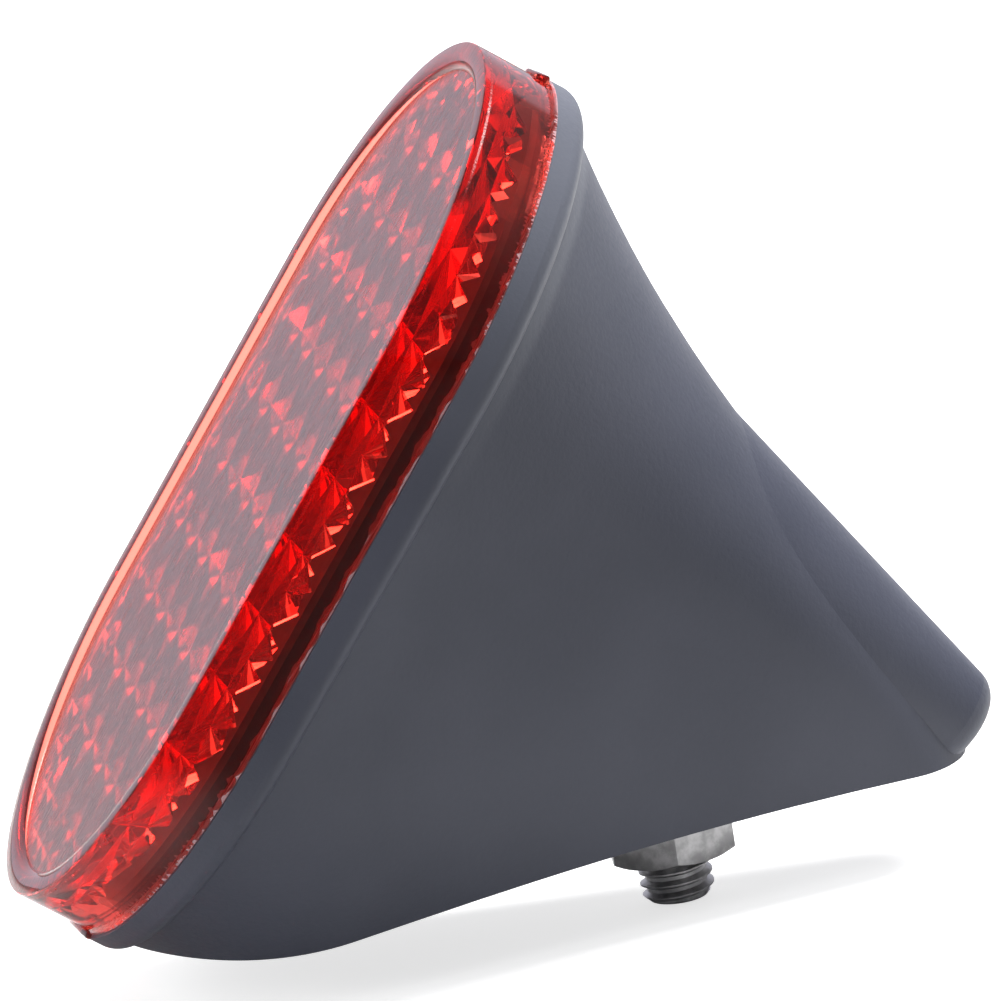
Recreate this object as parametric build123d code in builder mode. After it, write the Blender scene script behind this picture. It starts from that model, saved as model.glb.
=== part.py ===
from build123d import *
import os
from math import asin, ceil, cos, degrees, radians, sin, sqrt, tan

# Rear mudguard reflector: an oblong red lens on a rubber boot, held to the mudguard by one bolt.
# The origin is on the bolt's axis at the seat of the nut, +Z is up and the lens looks to -Y.

# Lens: overall outline, rim round the face, side wall and rear flange
lens_width = 38.0
lens_height = 62.0
lens_depth = 5.15
rim_width = 1.9
rim_height = 0.4
rim_round = 0.3
lens_wall = 1.8
flange_proud = 0.5
flange_thickness = 0.55

# Cube-corner pyramids behind the face: side of their triangular base, web of plastic over the grooves
prism_side = 5.66
face_web = 0.65

# Place of the lens's rear face: tilt against the foot, centre seen from the bolt
lens_tilt = 51.6
lens_forward = 19.8
lens_rise = 23.4

# Boot: collar bead behind the lens, the low plug that the lens is pressed over, the wall, and where the
# middle section of the hollow lies, as shares of the way down the chin and down the ridge
collar_thickness = 2.4
collar_round = 1.1
collar_step = 0.7
ridge_step = 0.6
plug_height = 0.8
plug_rim = 2.6
plug_clearance = 0.1
boot_wall = 3.4
hollow_chin_share = 0.5
hollow_ridge_share = 0.4

# Boot: ridge from the collar over the neck, the waist and the hip to the rear of the foot, and how fast
# it narrows
neck_reach = 3.0
neck_height = 38.0
waist_reach = 5.7
waist_height = 30.0
hip_reach = 7.1
hip_height = 27.0
ridge_swell = 1.2

# Boot: foot, narrowing from the chin to the rear
foot_front_radius = 10.9
foot_front_place = -24.6
foot_end_radius = 4.7
foot_end_place = 15.9
foot_floor = 4.0
foot_trim = 0.5

# Boot: spine on the ridge, a round roll that tapers to the overhanging tip of the tail
tail_reach = 23.0
tail_height = 2.5
tail_slope = 56.5
tail_undercut = 41.0
tail_overrun = 3.0
tail_round = 2.0
tail_radius = 3.0
spine_length = 28.0
spine_radius = 10.5

# Mudguard under the foot: radius across it and along it
guard_across = 34.0
guard_along = 340.0

# Bolt, washer and nut; the thread is drawn at its crest, and inside the nut at its pitch line
bolt_diameter = 4.85
thread_depth = 0.18
thread_runout = 0.3
bolt_length = 12.0
bolt_tip = 0.5
bolt_clearance = 0.1
hex_flats = 8.0
hex_chamfer = 30.0
head_height = 3.5
nut_height = 4.0
nut_turn = -5.0
washer_diameter = 10.0
washer_thickness = 1.0
washer_slack = 0.45
washer_room = 0.6
seat_room = 0.6

# Worked out from the sizes above
lens_plane = Plane(
    origin=(0, -lens_forward, lens_rise),
    x_dir=(1, 0, 0),
    z_dir=(0, -sin(radians(lens_tilt)), cos(radians(lens_tilt))),
)
lens_axis = Axis(lens_plane.origin, lens_plane.z_dir)
flange_width = lens_width + 2 * flange_proud
flange_height = lens_height + 2 * flange_proud
cup_width = lens_width - 2 * lens_wall
cup_height = lens_height - 2 * lens_wall
groove_depth = lens_depth - rim_height - face_web
groove_pitch = prism_side * sqrt(3) / 2
plug_width = cup_width - 2 * plug_clearance
plug_length = cup_height - 2 * plug_clearance
mouth_width = plug_width - 2 * plug_rim
mouth_length = plug_length - 2 * plug_rim
pitch_diameter = bolt_diameter - 2 * thread_depth
hex_corners = hex_flats / cos(radians(30))
# The foot's sections start a little below the lowest point of the mudguard's saddle
foot_bottom = -(foot_front_place**2 / guard_along + foot_front_radius**2 / guard_across) / 2 - foot_trim


def mix(first, last, share):
    """Value or point that lies a share of the way from the first to the last."""
    return first + (last - first) * share


def section_plane(front, end):
    """Plane across the boot, with its origin at the front point and Y towards the end point."""
    return Plane(origin=front, x_dir=(1, 0, 0), z_dir=Vector(1, 0, 0).cross(end - front))


def egg_face(front_radius, end_radius, length):
    """Egg from its front at the origin to its end on +Y: two arcs on each side of their tangent line."""
    reach = length - front_radius - end_radius
    lean = asin((front_radius - end_radius) / reach)
    with BuildSketch() as egg:
        with BuildLine():
            front = JernArc(start=(0, 0), tangent=(1, 0), radius=front_radius, arc_size=90 + degrees(lean))
            side = Line(front @ 1, front @ 1 + (front % 1) * reach * cos(lean))
            JernArc(start=side @ 1, tangent=side % 1, radius=end_radius, arc_size=90 - degrees(lean))
            mirror(about=Plane.YZ)
        make_face()
    return egg.sketch


# Cube-corner field: three sets of V-grooves, 120 degrees apart, leave triangular pyramids
with BuildPart() as prism_field:
    half_span = (lens_height + lens_width) / 2
    half_teeth = ceil(half_span / groove_pitch)
    tooth_height = groove_pitch / sqrt(2)
    with BuildSketch(Plane.XY.offset(face_web / 2)):
        SlotOverall(lens_height - lens_wall, lens_width - lens_wall, rotation=90)
    extrude(amount=-(face_web / 2 + tooth_height))
    teeth = [(-half_teeth * groove_pitch, 0)]
    for tooth in range(-half_teeth, half_teeth):
        teeth.append(((tooth + 0.5) * groove_pitch, -tooth_height))
        teeth.append(((tooth + 1) * groove_pitch, 0))
    for turn in (0, 60, 120):
        along = Vector(1, 0, 0).rotate(Axis.Z, turn)
        with BuildSketch(Plane(origin=(0, 0, 0), x_dir=Vector(0, 0, 1).cross(along), z_dir=along)):
            with BuildLine():
                Polyline(
                    *teeth,
                    (half_teeth * groove_pitch, face_web),
                    (-half_teeth * groove_pitch, face_web),
                    close=True,
                )
            make_face()
        extrude(amount=half_span, both=True, mode=Mode.INTERSECT)

# Reflector lens: a red cup with a raised rim round its flat face and a thin flange at its mouth
with BuildPart() as lens:
    with BuildSketch(lens_plane):
        SlotOverall(lens_height, lens_width, rotation=90)
    extrude(amount=lens_depth)
    with BuildSketch(lens_plane.offset(lens_depth)):
        SlotOverall(lens_height - 2 * rim_width, lens_width - 2 * rim_width, rotation=90)
    extrude(amount=-rim_height, mode=Mode.SUBTRACT)
    fillet(lens.edges().group_by(lens_axis)[-1], rim_round)
    with BuildSketch(lens_plane):
        SlotOverall(flange_height, flange_width, rotation=90)
    extrude(amount=flange_thickness)
    with BuildSketch(lens_plane):
        SlotOverall(cup_height, cup_width, rotation=90)
    extrude(amount=groove_depth + face_web / 2, mode=Mode.SUBTRACT)
    with Locations(lens_plane.offset(groove_depth).location):
        add(prism_field.part)

# Spine on the ridge: a tapered roll with its top on one slope, cut back below the tip and rounded
with BuildPart() as spine:
    tail_tip = Vector(0, tail_reach, tail_height)
    slope = Vector(0, cos(radians(tail_slope)), -sin(radians(tail_slope)))
    for along, radius in ((tail_overrun, tail_radius), (-spine_length, spine_radius)):
        with BuildSketch(Plane(origin=tail_tip + slope * along, x_dir=(1, 0, 0), z_dir=slope)):
            with Locations((0, radius)):
                Circle(radius)
    loft()
    undercut = Plane(
        origin=tail_tip,
        x_dir=(1, 0, 0),
        z_dir=(0, sin(radians(tail_undercut)), -cos(radians(tail_undercut))),
    )
    split(bisect_by=undercut, keep=Keep.BOTTOM)
    tip = spine.faces().sort_by(Axis(undercut.origin, undercut.z_dir))[-1]
    fillet(tip.edges(), tail_round)

# Line of the boot's ridge, and the points where its sections start below the chin
with BuildLine(Plane.YZ) as ridge:
    collar_top = lens_plane.from_local_coords((0, flange_height / 2 - ridge_step, -collar_thickness / 2))
    foot_end = foot_end_place + foot_end_radius
    Spline(
        (collar_top.Y, collar_top.Z),
        (neck_reach, neck_height),
        (waist_reach, waist_height),
        (hip_reach, hip_height),
        (foot_end, foot_bottom),
    )
collar_chin = lens_plane.from_local_coords((0, collar_step - flange_height / 2, -collar_thickness / 2))
foot_chin = Vector(0, foot_front_place - foot_front_radius, foot_bottom)
collar_radius = flange_width / 2 - collar_step

# Points of the hollow: back of the mouth, floor round the washer, and a waist a wall inside the ridge
mouth_front = lens_plane.from_local_coords((0, -mouth_length / 2, -collar_thickness))
mouth_end = lens_plane.from_local_coords((0, mouth_length / 2, -collar_thickness))
floor_front_radius = foot_front_radius - boot_wall
floor_front = Vector(0, foot_front_place - floor_front_radius, foot_floor)
floor_end_radius = washer_diameter / 2 + washer_room
floor_end = Vector(0, floor_end_radius, foot_floor)
hollow_front = mix(mouth_front, floor_front, hollow_chin_share)
hollow_ridge = ridge.line @ hollow_ridge_share
hollow_end = hollow_ridge + (hollow_front - hollow_ridge).normalized() * boot_wall


def ridge_radius(share):
    """Radius of the boot's ridge in the section that lies a share of the way down from the collar."""
    return mix(foot_end_radius, collar_radius, (1 - share) ** ridge_swell)


# Rubber boot: collar and plug for the lens, flared body down to the saddle of the foot, hollow inside
with BuildPart() as boot:
    with BuildSketch(lens_plane):
        SlotOverall(flange_height, flange_width, rotation=90)
    extrude(amount=-collar_thickness)
    fillet(boot.edges().group_by(lens_axis)[0], collar_round)
    for share in (0, 0.25, 0.5, 0.75, 1):
        section_front = mix(collar_chin, foot_chin, share)
        section_end = ridge.line @ share
        front_radius = mix(collar_radius, foot_front_radius, share)
        with BuildSketch(section_plane(section_front, section_end)):
            add(egg_face(front_radius, ridge_radius(share), (section_end - section_front).length))
    loft()
    add(spine.part)
    # The underside follows the mudguard, with a flat seat for the nut
    with Locations(Location((0, 0, -guard_along), (0, 90, 0))):
        Torus(guard_along - guard_across, guard_across, mode=Mode.SUBTRACT)
    with BuildSketch():
        Circle(hex_corners / 2 + seat_room)
    extrude(amount=foot_bottom, mode=Mode.SUBTRACT)
    # Plug inside the lens, then the hollow from its mouth to the floor under the washer
    with BuildSketch(lens_plane):
        SlotOverall(plug_length, plug_width, rotation=90)
    extrude(amount=plug_height)
    with BuildSketch(lens_plane.offset(plug_height)):
        SlotOverall(mouth_length, mouth_width, rotation=90)
    extrude(amount=-(plug_height + collar_thickness), mode=Mode.SUBTRACT)
    for hollow_start, hollow_stop, start_radius, stop_radius in (
        (mouth_front, mouth_end, mouth_width / 2, mouth_width / 2),
        (hollow_front, hollow_end, mix(mouth_width / 2, floor_front_radius, hollow_chin_share),
         ridge_radius(hollow_ridge_share) - boot_wall),
        (floor_front, floor_end, floor_front_radius, floor_end_radius),
    ):
        with BuildSketch(section_plane(hollow_start, hollow_stop)):
            add(egg_face(start_radius, stop_radius, (hollow_stop - hollow_start).length))
    loft(mode=Mode.SUBTRACT)
    with BuildSketch():
        Circle((bolt_diameter + bolt_clearance) / 2)
    extrude(amount=foot_floor, mode=Mode.SUBTRACT)


def hexagon_blank(height, low_chamfer, high_chamfer):
    """Half profile of a turned hexagon blank: its corners are cut back at the chamfered ends."""
    cut_back = (hex_corners - hex_flats) / 2 * tan(radians(hex_chamfer))
    low = cut_back if low_chamfer else 0
    high = height - (cut_back if high_chamfer else 0)
    with BuildSketch() as blank:
        with BuildLine():
            Polyline((0, 0), (hex_flats / 2, 0), (hex_corners / 2, low), (hex_corners / 2, high),
                     (hex_flats / 2, height), (0, height), close=True)
        make_face()
    return blank.sketch


# Bolt, with its head inside the boot and its threaded end below the foot
with BuildPart() as bolt:
    head_seat = foot_floor + washer_thickness
    with BuildSketch(Plane.XY.offset(head_seat)):
        RegularPolygon(hex_flats / 2, 6, major_radius=False)
    extrude(amount=head_height)
    with BuildSketch(Plane(origin=(0, 0, head_seat), x_dir=(1, 0, 0), z_dir=(0, -1, 0))):
        add(hexagon_blank(head_height, False, True))
    revolve(axis=Axis.Z, mode=Mode.INTERSECT)
    with BuildSketch(Plane.XY.offset(head_seat)):
        Circle(bolt_diameter / 2)
    extrude(amount=-bolt_length)
    chamfer(bolt.edges().sort_by(Axis.Z)[0], bolt_tip)
    with BuildSketch(Plane.XY.offset(thread_runout)):
        Circle(bolt_diameter / 2)
        Circle(pitch_diameter / 2, mode=Mode.SUBTRACT)
    extrude(amount=-(nut_height + 2 * thread_runout), mode=Mode.SUBTRACT)

# Washer that spreads the head's load on the rubber floor
with BuildPart() as washer:
    with BuildSketch(Plane.XY.offset(foot_floor)):
        Circle(washer_diameter / 2)
        Circle((bolt_diameter + washer_slack) / 2, mode=Mode.SUBTRACT)
    extrude(amount=washer_thickness)

# Hexagon nut against the underside, chamfered at both ends
with BuildPart() as nut:
    with BuildSketch(Plane.XY.offset(-nut_height)):
        RegularPolygon(hex_flats / 2, 6, major_radius=False, rotation=nut_turn)
    extrude(amount=nut_height)
    with BuildSketch(Plane(origin=(0, 0, -nut_height), x_dir=(1, 0, 0), z_dir=(0, -1, 0))):
        add(hexagon_blank(nut_height, True, True))
    revolve(axis=Axis.Z, mode=Mode.INTERSECT)
    with BuildSketch(Plane.XY.offset(-nut_height)):
        Circle((pitch_diameter + bolt_clearance) / 2)
    extrude(amount=nut_height, mode=Mode.SUBTRACT)

os.makedirs("parts", exist_ok=True)
lens.part.label = "reflector_lens"
export_step(lens.part, "parts/reflector_lens.step")
boot.part.label = "rubber_boot"
export_step(boot.part, "parts/rubber_boot.step")
bolt.part.label = "mounting_bolt"
export_step(bolt.part, "parts/mounting_bolt.step")
washer.part.label = "bolt_washer"
export_step(washer.part, "parts/bolt_washer.step")
nut.part.label = "hex_nut"
export_step(nut.part, "parts/hex_nut.step")
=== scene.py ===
import bpy
from math import cos, pi, radians, sin, sqrt
from mathutils import Matrix, Vector


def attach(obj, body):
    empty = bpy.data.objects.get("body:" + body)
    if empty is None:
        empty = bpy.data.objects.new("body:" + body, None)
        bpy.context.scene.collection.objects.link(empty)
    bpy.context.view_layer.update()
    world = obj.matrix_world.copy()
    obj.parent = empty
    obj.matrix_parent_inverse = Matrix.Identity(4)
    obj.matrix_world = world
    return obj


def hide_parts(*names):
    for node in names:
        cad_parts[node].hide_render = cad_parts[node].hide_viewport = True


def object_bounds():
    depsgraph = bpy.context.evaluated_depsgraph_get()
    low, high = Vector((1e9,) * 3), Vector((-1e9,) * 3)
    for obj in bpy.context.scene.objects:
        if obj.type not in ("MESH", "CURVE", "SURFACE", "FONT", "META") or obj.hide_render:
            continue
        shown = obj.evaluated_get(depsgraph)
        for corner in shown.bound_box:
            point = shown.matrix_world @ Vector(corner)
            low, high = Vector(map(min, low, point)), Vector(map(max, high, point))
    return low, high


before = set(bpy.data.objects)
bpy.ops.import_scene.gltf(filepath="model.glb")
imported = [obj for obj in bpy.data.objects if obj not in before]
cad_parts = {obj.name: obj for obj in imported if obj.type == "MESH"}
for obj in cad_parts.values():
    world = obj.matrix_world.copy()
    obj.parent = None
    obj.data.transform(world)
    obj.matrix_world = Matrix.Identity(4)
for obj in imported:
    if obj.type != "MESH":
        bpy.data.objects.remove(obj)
cad_low, cad_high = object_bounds()

# The rubber boot. One dark blue-grey moulding, hollow inside: a bead-edged collar that carries the lens,
# flanks that run down to a saddle for the mudguard, and a rounded spine that ends in a blunt tail. Its
# skin is matt and finely grained from the mould. Along the top of the collar it is painted paler, partly as
# dust and partly as a painted highlight standing in for light from above.


class Wire:
    """An output in a finish's node tree. Sums and products of wires and numbers add Math nodes."""

    def __init__(self, tree, socket=None):
        self.tree = tree
        self.socket = socket

    def node(self, kind, settings=None, inputs=None, take=0):
        """One output of a new node, with its own settings, and with values or wires in its sockets."""
        made = self.tree.nodes.new(kind)
        for name, value in (settings or {}).items():
            setattr(made, name, value)
        for name, value in (inputs or {}).items():
            if isinstance(value, Wire):
                self.tree.links.new(value.socket, made.inputs[name])
            else:
                made.inputs[name].default_value = value
        return Wire(self.tree, made.outputs[take])

    def sums(self, operation, first, second):
        return self.node("ShaderNodeMath", {"operation": operation}, {0: first, 1: second})

    def __add__(self, other):
        return self.sums("ADD", self, other)

    __radd__ = __add__

    def __mul__(self, other):
        return self.sums("MULTIPLY", self, other)

    __rmul__ = __mul__

    def __sub__(self, other):
        return self.sums("SUBTRACT", self, other)

    def __rsub__(self, other):
        return self.sums("SUBTRACT", other, self)

    def between(self, low, high):
        """0 below low, 1 above high, smooth in between."""
        return self.node("ShaderNodeMapRange", {"interpolation_type": "SMOOTHSTEP"},
                         {"Value": self, "From Min": low, "From Max": high})

    def blend(self, first, second):
        """Colour that goes from the first to the second as this wire goes from 0 to 1."""
        return self.node("ShaderNodeMix", {"data_type": "RGBA"}, {0: self, 6: first, 7: second}, take=2)

    def noise(self, scale, detail=2.0, rough=0.5):
        """Noise of this scale, in lumps per metre, on the place that this wire carries."""
        return self.node("ShaderNodeTexNoise", None,
                         {"Vector": self, "Scale": scale, "Detail": detail, "Roughness": rough})

    def axis(self, number):
        """One of the three numbers of the place that this wire carries."""
        return self.node("ShaderNodeSeparateXYZ", None, {0: self}, take=number)


def new_finish(name):
    """An empty finish: its material, its Principled shader, and a wire with the place on the piece."""
    material = bpy.data.materials.new(name)
    material.use_nodes = True
    shader = material.node_tree.nodes["Principled BSDF"]
    place = Wire(material.node_tree).node("ShaderNodeTexCoord", take="Object")
    return material, shader, place


def put(wire, shader, socket):
    wire.tree.links.new(wire.socket, shader.inputs[socket])


def wear(piece, finish):
    """Gives the piece this finish alone."""
    piece.data.materials.clear()
    piece.data.materials.append(finish)


lens_tilt = radians(51.6)
lens_place = Vector((0.0, -0.0197068, 0.0235176))


def on_lens(place):
    """The place measured in the tilted lens: across its face, along it and out of it."""
    return place.node("ShaderNodeMapping", {"vector_type": "TEXTURE"},
                      {"Vector": place, "Location": lens_place, "Rotation": (lens_tilt, 0.0, 0.0)})


rubber_dark = (0.040, 0.044, 0.064, 1.0)
rubber_light = (0.048, 0.052, 0.074, 1.0)
collar_dust_and_painted_sheen = (0.13, 0.137, 0.158, 1.0)
collar_sheen_share = 0.48
rubber, rubber_shader, place = new_finish("boot_rubber")
cloudy = place.noise(90.0)
grain = place.noise(2600.0, 2.0, 0.6)
spot = on_lens(place)
# Mask for the top of the collar, where the base colour is painted paler: dust, plus a painted highlight for
# light from above
collar = spot.axis(2).between(-0.0040, -0.0032) * spot.axis(1).between(0.004, 0.026)
tone = cloudy.between(0.3, 0.7).blend(rubber_dark, rubber_light)
put((collar * collar_sheen_share).blend(tone, collar_dust_and_painted_sheen), rubber_shader, "Base Color")
put(0.40 + grain * 0.16, rubber_shader, "Roughness")
skin = place.node("ShaderNodeBump", None, {"Strength": 0.12, "Distance": 0.0002, "Height": grain})
put(skin, rubber_shader, "Normal")
wear(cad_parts["rubber_boot"], rubber)

# The fixing inside and under the boot: an M5 bolt of dull zinc-plated steel with a washer under its head,
# both hidden in the boot, and a hexagon nut run up against the foot. The bolt's rolled thread stands out
# below the nut. Sizes are in millimetres, with heights from the seat of the nut.
steel_dull = (0.34, 0.335, 0.34, 1.0)
steel_bright = (0.60, 0.595, 0.60, 1.0)
steel, steel_shader, place = new_finish("zinc_steel")
stain = place.noise(700.0, 4.0, 0.6)
put(stain.between(0.35, 0.7).blend(steel_dull, steel_bright), steel_shader, "Base Color")
put(0.30 + stain * 0.22, steel_shader, "Roughness")
steel_shader.inputs["Metallic"].default_value = 1.0
wear(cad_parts["bolt_washer"], steel)


def only(piece):
    """Makes the piece the only one selected."""
    bpy.ops.object.select_all(action="DESELECT")
    piece.select_set(True)
    bpy.context.view_layer.objects.active = piece


def added(name):
    """The primitive that was added last, with its place and turn put into its mesh."""
    piece = bpy.context.object
    piece.name = name
    bpy.ops.object.transform_apply(location=True, rotation=True, scale=True)
    return piece


def edit(piece):
    """Opens the piece for editing, with nothing in it selected."""
    only(piece)
    bpy.ops.object.mode_set(mode="EDIT")
    bpy.ops.mesh.select_mode(type="VERT")
    bpy.ops.mesh.select_all(action="DESELECT")


def leave():
    bpy.ops.object.mode_set(mode="OBJECT")


def apply_all(piece):
    only(piece)
    for modifier in list(piece.modifiers):
        bpy.ops.object.modifier_apply(modifier=modifier.name)


def outwards():
    """In edit mode, selects everything and turns its faces outwards."""
    bpy.ops.mesh.select_all(action="SELECT")
    bpy.ops.mesh.normals_make_consistent(inside=False)


def turned(name, profile, steps):
    """A turned solid: from a circle, the profile of (radius, height) is extruded ring by ring."""
    bpy.ops.object.select_all(action="DESELECT")
    radius, height = profile[0]
    bpy.ops.mesh.primitive_circle_add(vertices=steps, radius=radius, location=(0, 0, height),
                                      rotation=(0, 0, pi / steps), fill_type="NGON")
    piece = added(name)
    edit(piece)
    bpy.ops.mesh.select_mode(type="FACE")
    bpy.ops.mesh.select_all(action="SELECT")
    bpy.ops.mesh.flip_normals()
    for ring_radius, ring_height in profile[1:]:
        bpy.ops.mesh.extrude_region_move()
        share = ring_radius / radius
        bpy.ops.transform.resize(value=(share, share, 1.0), center_override=(0, 0, 0))
        bpy.ops.transform.translate(value=(0, 0, ring_height - height))
        radius, height = ring_radius, ring_height
    outwards()
    leave()
    return piece


def cut(piece, tool, operation):
    """Combines the piece with the tool, which is then thrown away."""
    joint = piece.modifiers.new("cut", "BOOLEAN")
    joint.operation = operation
    joint.solver = "EXACT"
    joint.object = tool
    apply_all(piece)
    bpy.data.objects.remove(tool)


def settle(piece, matrix, finish):
    """Brings a piece drawn in millimetres to its place and size, and hangs it in the frame."""
    piece.matrix_world = matrix @ Matrix.Scale(0.001, 4)
    only(piece)
    bpy.ops.object.transform_apply(location=True, rotation=True, scale=True)
    bpy.ops.object.shade_smooth_by_angle(angle=radians(25))
    wear(piece, finish)
    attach(piece, "root")


across_flats = 8.0


def hexagon(name, low, high, turn):
    """Hexagon bar from one height to another."""
    bpy.ops.object.select_all(action="DESELECT")
    bpy.ops.mesh.primitive_cylinder_add(vertices=6, radius=across_flats / 2 / cos(pi / 6), depth=high - low,
                                        location=(0, 0, (low + high) / 2), rotation=(0, 0, radians(turn)))
    return added(name)


# Thread: the outline of one tooth is drawn point by point and wound up the bolt, then cut to length
thread_pitch = 0.8
thread_turns = 6
thread_start = -8.4
thread_top = -4.1
crest_radius = 2.425
root_radius = 2.02
neck_radius = 2.245
stud_end = -7.0
round_steps = 56
bpy.ops.object.select_all(action="DESELECT")
bpy.ops.mesh.primitive_plane_add(size=0.1)
stud = bpy.context.object
stud.name = "threaded_bolt"
edit(stud)
bpy.ops.mesh.select_all(action="SELECT")
bpy.ops.mesh.merge(type="CENTER")
bpy.ops.transform.translate(value=(root_radius, 0, thread_start))
tooth = crest_radius - root_radius
for outward, upward in ((0, 0.12), (tooth, 0.23), (0, 0.10), (-tooth, 0.23), (0, 0.12)):
    bpy.ops.mesh.extrude_region_move(TRANSFORM_OT_translate={"value": (outward, 0, upward)})
leave()
helix = stud.modifiers.new("helix", "SCREW")
helix.axis = "Z"
helix.screw_offset = thread_pitch
helix.iterations = thread_turns
helix.steps = round_steps
helix.render_steps = round_steps
apply_all(stud)
edit(stud)
bpy.ops.mesh.select_all(action="SELECT")
bpy.ops.mesh.remove_doubles(threshold=0.004)
for height, side in ((thread_top, 1.0), (stud_end, -1.0)):
    bpy.ops.mesh.select_all(action="SELECT")
    bpy.ops.mesh.bisect(plane_co=(0, 0, height), plane_no=(0, 0, side), use_fill=True, clear_outer=True)
outwards()
leave()
point = turned("point", [(1.8, -7.1), (2.6, -6.3), (2.6, -4.0)], round_steps)
cut(stud, point, "INTERSECT")
shank = turned("shank", [(neck_radius, -4.15), (neck_radius, 0.3), (crest_radius, 0.3), (crest_radius, 5.2)],
               round_steps)
cut(stud, shank, "UNION")
cut(stud, hexagon("head", 5.0, 8.5, 0.0), "UNION")
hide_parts("mounting_bolt")
settle(stud, Matrix(), steel)

# Nut: a hexagon bar, its corners turned back at both ends, drilled, with every edge slightly worn
nut = hexagon("hexagon_nut", -4.0, 0.0, 25.0)
corners = turned("corners", [(4.0, -4.0), (4.7, -3.6), (4.7, -0.4), (4.0, 0.0)], 96)
cut(nut, corners, "INTERSECT")
hole = turned("hole", [(2.8, -4.05), (2.3, -3.55), (2.3, -0.45), (2.8, 0.05)], round_steps)
cut(nut, hole, "DIFFERENCE")
worn = nut.modifiers.new("worn", "BEVEL")
worn.width = 0.07
worn.segments = 2
worn.limit_method = "ANGLE"
worn.angle_limit = radians(20)
apply_all(nut)
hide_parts("hex_nut")
settle(nut, Matrix(), steel)

# The reflector lens. One red transparent moulding: a rounded oblong cup with a raised rim round its flat
# face, a thin flange at its mouth, and behind the face a field of cube-corner pyramids that throw light
# back. Sizes are in millimetres, in the lens's own axes, with levels from the rear of its flange.
half_straight = 12.15
wall_radius = 19.0
flange_radius = 19.28
flange_thickness = 0.3
cup_radius = 17.2
rim_radius = 17.1
rim_slope = 1.0
edge_round = 0.15
lens_depth = 5.25
face_level = 4.75
groove_level = 2.6
rear_level = 0.04
tray_floor = 1.0
tray_lip = 1.3
prism_side = 5.66
lattice_shift = -1.1
base_thickness = 0.4
apex_wander = 0.12
field_radius = 15.1
overlap = 0.05
oblong_steps = 144


def pick(piece, wanted):
    """In edit mode, selects just the vertices whose place is wanted."""
    bpy.ops.mesh.select_all(action="DESELECT")
    leave()
    for vertex in piece.data.vertices:
        vertex.select = wanted(vertex.co)
    bpy.ops.object.mode_set(mode="EDIT")


def oblong(name, profile):
    """A turned solid, with its two halves pulled apart along the lens."""
    piece = turned(name, profile, oblong_steps)
    edit(piece)
    pick(piece, lambda co: co.y > 0)
    bpy.ops.transform.translate(value=(0, half_straight, 0))
    pick(piece, lambda co: co.y < 0)
    bpy.ops.transform.translate(value=(0, -half_straight, 0))
    leave()
    return piece


def quarter(radius_from, height_from, radius_to, height_to, steps, lead):
    """Points of a rounded corner; lead says whether the radius or the height moves first."""
    points = []
    for step in range(1, steps + 1):
        turn = pi / 2 * step / steps
        first, second = sin(turn), 1 - cos(turn)
        by_radius, by_height = (first, second) if lead == "radius" else (second, first)
        points.append((radius_from + (radius_to - radius_from) * by_radius,
                       height_from + (height_to - height_from) * by_height))
    return points


outline = [(flange_radius, rear_level), (flange_radius, flange_thickness), (wall_radius, flange_thickness),
           (wall_radius, lens_depth - edge_round)]
outline += quarter(wall_radius, lens_depth - edge_round, wall_radius - edge_round, lens_depth, 3, "height")
outline += [(rim_radius + rim_slope, lens_depth)]
outline += quarter(rim_radius + rim_slope, lens_depth, rim_radius, face_level, 8, "radius")
lens = oblong("red_lens", outline)
cut(lens, oblong("cavity", [(cup_radius, -1.0), (cup_radius, groove_level)]), "DIFFERENCE")


def pyramids(name, side, columns, rows):
    """A sheet of triangles, each poked to a point below the groove level, its base let into the face."""
    row_pitch = side * sqrt(3) / 2
    bpy.ops.object.select_all(action="DESELECT")
    bpy.ops.mesh.primitive_circle_add(vertices=3, radius=side / sqrt(3), fill_type="NGON")
    sheet = bpy.context.object
    sheet.name = name
    edit(sheet)
    bpy.ops.mesh.select_all(action="SELECT")
    lowest = min(vertex.co.y for vertex in sheet.data.vertices)
    bpy.ops.transform.translate(value=(0, -lowest, 0))
    bpy.ops.mesh.duplicate()
    bpy.ops.transform.translate(value=(side / 2, 0, 0))
    bpy.ops.transform.mirror(constraint_axis=(False, True, False), center_override=(0, row_pitch / 2, 0))
    bpy.ops.mesh.select_all(action="SELECT")
    sheet_left = side / 2 - columns * 2 / 3 * side
    sheet_low = lattice_shift - rows / 2 * row_pitch
    bpy.ops.transform.translate(value=(sheet_left, sheet_low, 0))
    bpy.ops.mesh.normals_make_consistent(inside=False)
    leave()
    for count, offset in ((columns, (side, 0, 0)), (rows, (side / 2, row_pitch, 0))):
        row = sheet.modifiers.new("row", "ARRAY")
        row.use_relative_offset = False
        row.use_constant_offset = True
        row.constant_offset_displace = offset
        row.count = count
    apply_all(sheet)
    edit(sheet)
    bpy.ops.mesh.select_all(action="SELECT")
    bpy.ops.mesh.remove_doubles(threshold=0.01)
    bpy.ops.mesh.select_mode(type="FACE")
    bpy.ops.mesh.select_all(action="SELECT")
    bpy.ops.mesh.extrude_region_move(TRANSFORM_OT_translate={"value": (0, 0, base_thickness)})
    outwards()
    leave()
    edit(sheet)
    bpy.ops.mesh.select_mode(type="FACE")
    leave()
    for face in sheet.data.polygons:
        face.select = face.normal.z < -0.9
    bpy.ops.object.mode_set(mode="EDIT")
    bpy.ops.mesh.poke(offset=side / sqrt(6))
    bpy.ops.mesh.select_mode(type="VERT")
    pick(sheet, lambda co: co.z < -0.5)
    bpy.ops.transform.vertex_random(offset=apex_wander, seed=4)
    bpy.ops.mesh.select_all(action="SELECT")
    bpy.ops.transform.translate(value=(0, 0, groove_level))
    leave()
    return sheet


prisms = pyramids("prisms", prism_side, 18, 14)
cut(prisms, oblong("trim", [(field_radius, tray_floor + overlap), (field_radius, lens_depth)]), "INTERSECT")
cut(lens, prisms, "UNION")

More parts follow.
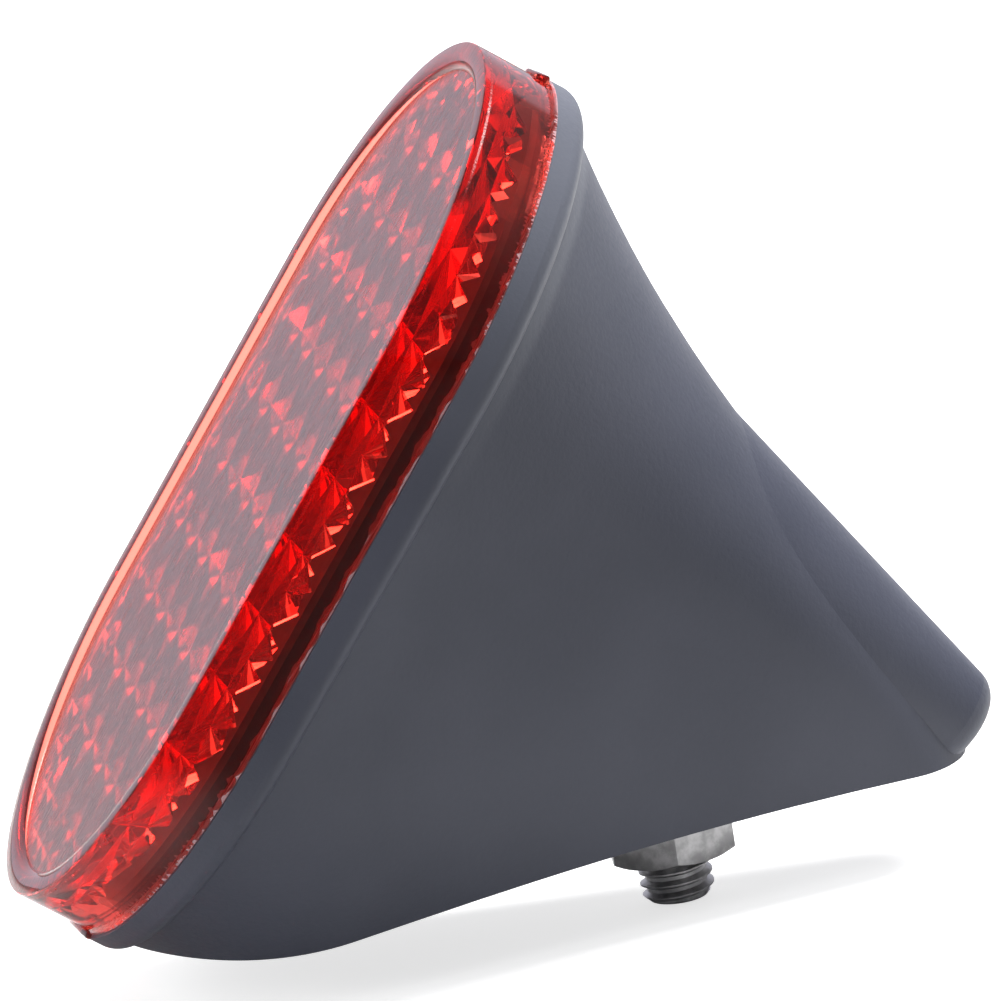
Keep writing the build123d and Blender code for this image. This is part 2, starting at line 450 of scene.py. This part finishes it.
# Pyramids of half that size fill the strip between the field and the wall, and run a little into the wall
strip_radius = cup_radius + 0.9
core_radius = field_radius - overlap
border = pyramids("border", prism_side / 2, 36, 28)
cut(border, oblong("trim", [(strip_radius, tray_lip + overlap), (strip_radius, lens_depth)]), "INTERSECT")
cut(border, oblong("core", [(core_radius, 0.0), (core_radius, groove_level + 0.1)]), "DIFFERENCE")
cut(lens, border, "UNION")

# The stub of the gate at the top of the flange, and a lump of flash at its foot
for name, size, middle in (("gate", (2.6, 0.6, 1.0), (-0.6, 31.18, 0.7)),
                           ("lump", (4.6, 0.5, 0.6), (3.0, -31.0, 0.36))):
    bpy.ops.object.select_all(action="DESELECT")
    bpy.ops.mesh.primitive_cube_add(size=1.0, location=middle, rotation=(0.2, 0.1, 0.08))
    bpy.context.object.scale = size
    stub = added(name)
    worn = stub.modifiers.new("worn", "BEVEL")
    worn.width = 0.18
    worn.segments = 3
    apply_all(stub)
    cut(lens, stub, "UNION")

# Clear red: smooth apart from the face, which has fine streaks, and frosted where flash hangs on the flange
red, red_shader, place = new_finish("clear_red")
output = place.tree.nodes["Material Output"]
spot = on_lens(place)
level = spot.axis(2)
streaky = spot.node("ShaderNodeVectorMath", {"operation": "MULTIPLY"}, {0: spot, 1: (6500.0, 330.0, 0.0)})
streaks = streaky.noise(1.0, 2.0, 0.6).between(0.42, 0.72)
face = level.between(0.0046, 0.0047) - level.between(0.0048, 0.00485)
put(face * (0.18 + streaks * 0.14), red_shader, "Roughness")
red_shader.inputs["Base Color"].default_value = (0.95, 0.46, 0.36, 1.0)
red_shader.inputs["IOR"].default_value = 1.49
red_shader.inputs["Transmission Weight"].default_value = 1.0
dye = place.node("ShaderNodeVolumeAbsorption", None, {"Color": (0.96, 0.22, 0.20, 1.0), "Density": 500.0})
put(dye, output, "Volume")
flash = (1.0 - (level - streaks * 0.0003).between(-0.00002, 0.00008)) * 0.7
frosted = place.node("ShaderNodeBsdfPrincipled", None,
                     {"Base Color": (0.45, 0.30, 0.32, 1.0), "Roughness": 0.6})
clear = Wire(place.tree, red_shader.outputs[0])
put(place.node("ShaderNodeMixShader", None, {0: flash, 1: clear, 2: frosted}), output, "Surface")
lens_stand = Matrix.Translation(lens_place) @ Matrix.Rotation(lens_tilt, 4, "X")
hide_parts("reflector_lens")
settle(lens, lens_stand, red)

# The tray behind the prisms. A shallow grey plastic lid, welded into the mouth of the lens to keep water
# out, whose lip stands up inside the wall. It is seen only through the red plastic, as the dark band at
# the rear of the wall.
tray_low = 0.82
tray_radius = 16.4
lip_radius = cup_radius - overlap
tray = oblong("back_tray", [(lip_radius, tray_low), (lip_radius, tray_lip), (tray_radius, tray_lip),
                            (tray_radius, tray_floor)])


def grey(level):
    return (level, level, level, 1.0)


tray_grey, tray_shader, place = new_finish("grey_tray")
mottle = place.noise(900.0)
put(mottle.between(0.3, 0.7).blend((0.135, 0.135, 0.14, 1.0), grey(0.165)), tray_shader, "Base Color")
put(0.50 + mottle * 0.10, tray_shader, "Roughness")
settle(tray, lens_stand, tray_grey)

# The studio: pale paper under the stud, white behind and above the object, and a dim room on the camera's
# side of it, so that the near flanks stay deep. One broad lamp hangs overhead and a weaker one stands in
# front. What shines through the lens sees bright windows in a darker room.
bpy.ops.object.select_all(action="DESELECT")
bpy.ops.mesh.primitive_plane_add(size=8.0, location=(0, 0, cad_low.z - 0.0002))
floor = bpy.context.object
floor.name = "floor"
paper, paper_shader, place = new_finish("studio_paper")
# On the camera's side the paper turns nearly black to reflected rays only: a painted dark reflection that
# keeps the near flanks and the lens wall deep
near_floor = place.axis(0).between(0.0, 0.06)
shine = place.node("ShaderNodeLightPath", take="Is Glossy Ray")
put((shine * near_floor).blend(grey(0.62), grey(0.06)), paper_shader, "Base Color")
paper_shader.inputs["Roughness"].default_value = 0.9
paper_shader.inputs["Emission Strength"].default_value = 1.0
watched = place.node("ShaderNodeLightPath", take="Is Camera Ray")
bright = watched + place.node("ShaderNodeLightPath", take="Is Transmission Ray") * (1.0 - near_floor)
put(bright.blend(grey(0.0), grey(0.70)), paper_shader, "Emission Color")
floor.data.materials.append(paper)

world = bpy.data.worlds.new("studio")
bpy.context.scene.world = world
world.use_nodes = True
sky = Wire(world.node_tree)
watched = sky.node("ShaderNodeLightPath", take="Is Camera Ray")
mirrored = sky.node("ShaderNodeLightPath", take="Is Glossy Ray")
passed = sky.node("ShaderNodeLightPath", take="Is Transmission Ray")
way = sky.node("ShaderNodeTexCoord", take="Generated")
across = way.axis(0)
near_side = across.between(0.35, 0.85)
dim_side = near_side.blend((0.36, 0.36, 0.38, 1.0), (0.12, 0.12, 0.13, 1.0))
room = across.between(-0.72, -0.66).blend((0.90, 0.90, 1.03, 1.0), dim_side)
windows = way.noise(2.6, 1.0).between(0.50, 0.58).blend(grey(0.28), (2.2, 2.0, 1.8, 1.0))
open_room = near_side.blend(windows, grey(0.25))
soft = near_side.blend((0.50, 0.50, 0.51, 1.0), (0.16, 0.16, 0.17, 1.0))
light = passed.blend(mirrored.blend(soft, room), open_room)
put(watched.blend(light, grey(1.0)), world.node_tree.nodes["Background"], "Color")


def lamp(name, place, size, watts):
    """A round soft lamp, aimed at the foot of the boot."""
    light = bpy.data.lights.new(name, "AREA")
    light.shape = "DISK"
    light.size = size
    light.energy = watts
    holder = bpy.data.objects.new(name, light)
    bpy.context.scene.collection.objects.link(holder)
    holder.location = place
    holder.rotation_euler = (Vector((0, 0, 0.02)) - Vector(place)).to_track_quat("-Z", "Y").to_euler()
    holder.visible_glossy = False


lamp("overhead", (-0.12, 0.26, 0.58), 0.50, 11.5)
lamp("front", (0.25, -0.50, 0.35), 0.30, 2.0)

view = bpy.data.cameras.new("camera")
view.sensor_width = 36.0
view.lens = 340.279
view.clip_start = 0.05
view.clip_end = 20.0
camera = bpy.data.objects.new("camera", view)
bpy.context.scene.collection.objects.link(camera)
right = Vector((0.1625365, 0.97498352, -0.15162128))
up = Vector((-0.21452735, 0.18490747, 0.95905539))
turn = Matrix((right, up, right.cross(up))).transposed().to_4x4()
camera.matrix_world = Matrix.Translation((0.58969379, -0.0831225, 0.16790394)) @ turn
bpy.context.scene.camera = camera
bpy.context.scene.view_settings.view_transform = "Standard"
